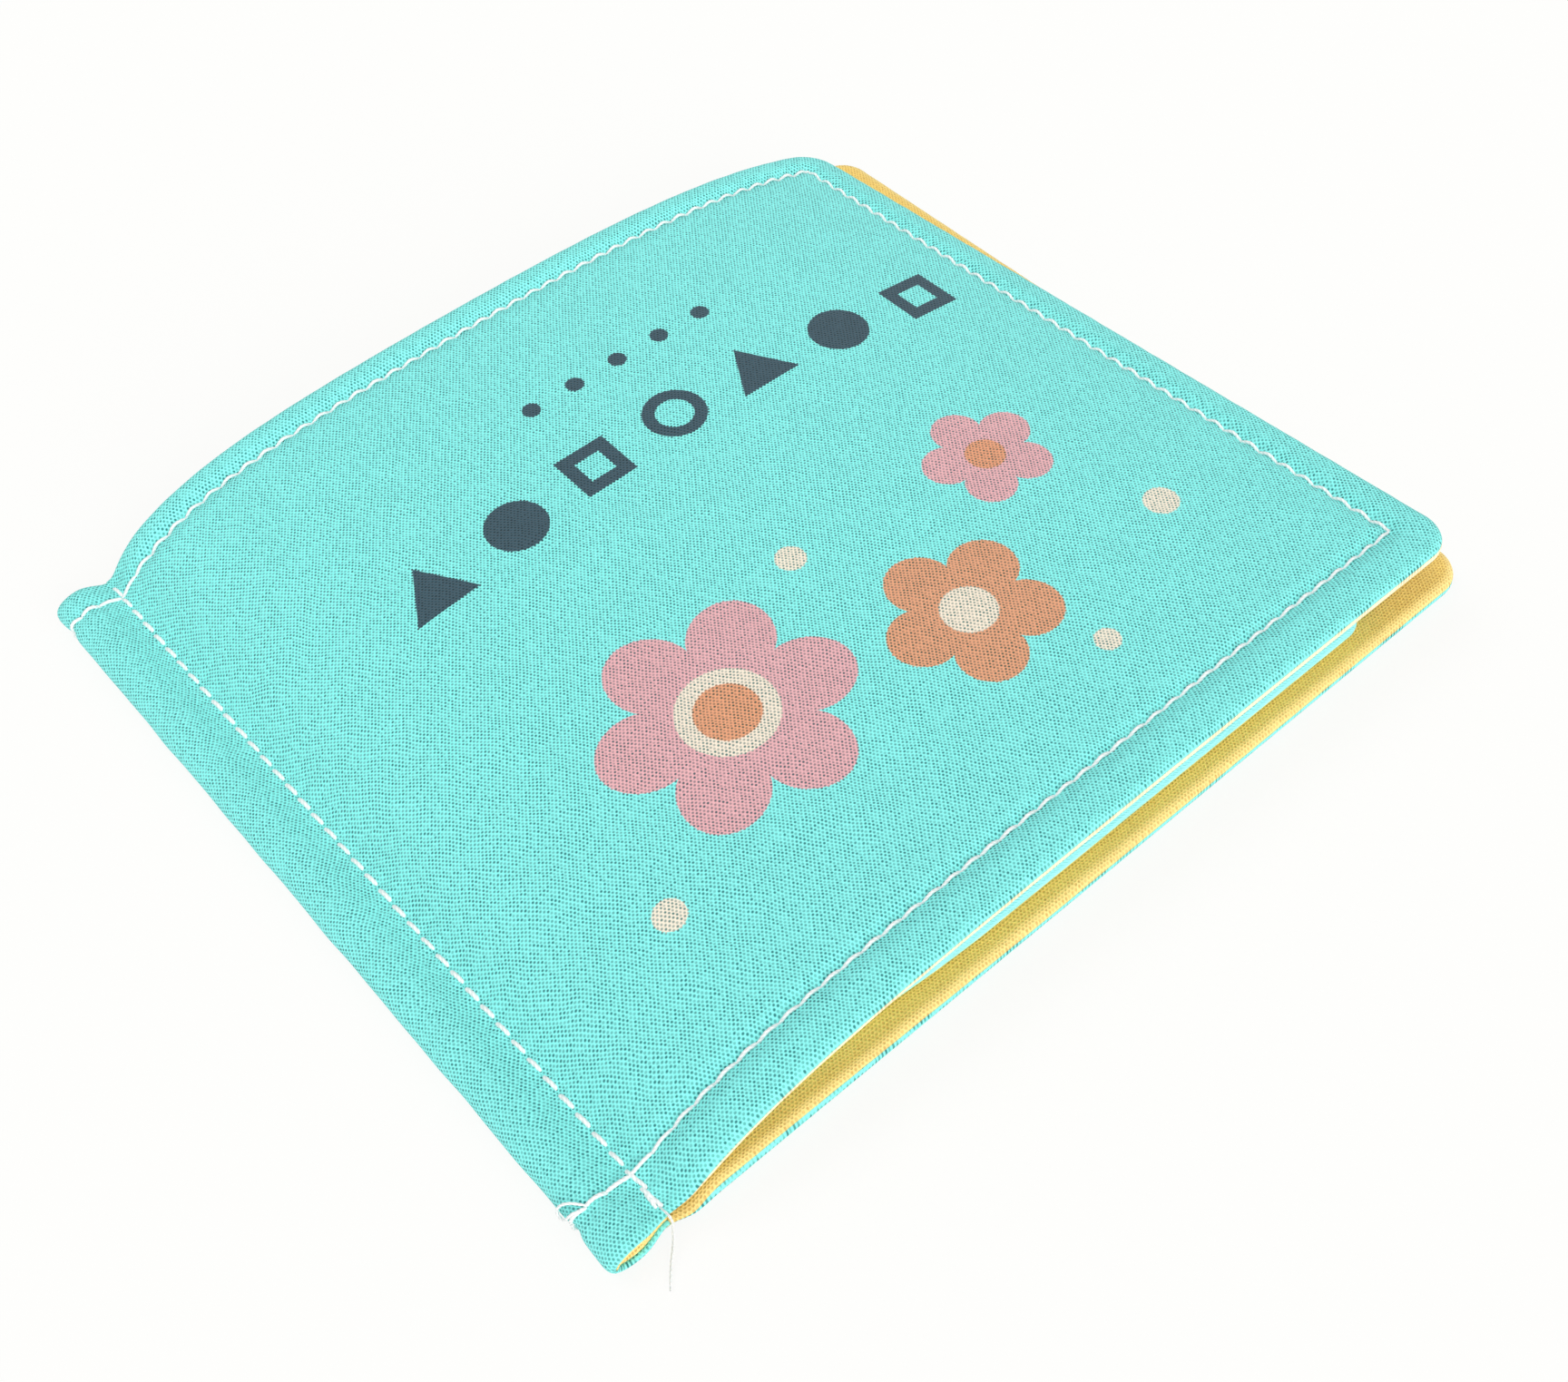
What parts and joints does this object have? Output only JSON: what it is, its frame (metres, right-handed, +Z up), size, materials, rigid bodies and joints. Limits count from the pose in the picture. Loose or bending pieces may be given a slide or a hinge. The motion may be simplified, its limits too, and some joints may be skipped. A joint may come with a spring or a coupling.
{
  "type": "cloth book",
  "caption": "Soft sewn cloth book lying closed: two lined, topstitched covers hinged at a spine seam, with a folded page sheet inside.",
  "frame": {"origin": "under the middle of the closed book's bounding box, on the table", "axes": "+X from the spine to the fore-edge, +Y from the tail to the head, +Z up out of the front cover"},
  "size_m": [0.1742, 0.156, 0.0189],
  "materials": {
    "outer_cloth": "printed knit cloth, matte",
    "lining_cloth": "plain knit cloth, matte",
    "page_cloth": "knit cloth, mint outside and light blue inside, matte",
    "thread": "sewing thread, slight sheen"
  },
  "bodies": {
    "spine_and_pages": {"spine_cloth": "outer_cloth", "spine_lining": "lining_cloth", "page_sheet": "page_cloth", "seam_needle_thread": "thread", "seam_bobbin_thread": "thread", "spine_stitch_head": "thread", "spine_stitch_tail": "thread", "loose_thread_loop": "thread"},
    "front_cover": {"front_cover_cloth": "outer_cloth", "front_cover_lining": "lining_cloth", "front_topstitch": "thread"},
    "back_cover": {"back_cover_cloth": "outer_cloth", "back_cover_lining": "lining_cloth", "back_topstitch": "thread"}
  },
  "joints": [
    {"name": "front_cover_hinge", "type": "hinge", "parent": "spine_and_pages", "child": "front_cover", "pos_m": [-0.07722, 0.00296, 0.007], "axis": [0, -1, 0], "range_deg": [0, 155]},
    {"name": "back_cover_hinge", "type": "hinge", "parent": "spine_and_pages", "child": "back_cover", "pos_m": [-0.07722, 0.00296, -0.0002], "axis": [0, 1, 0], "range_deg": [0, 180]}
  ]
}
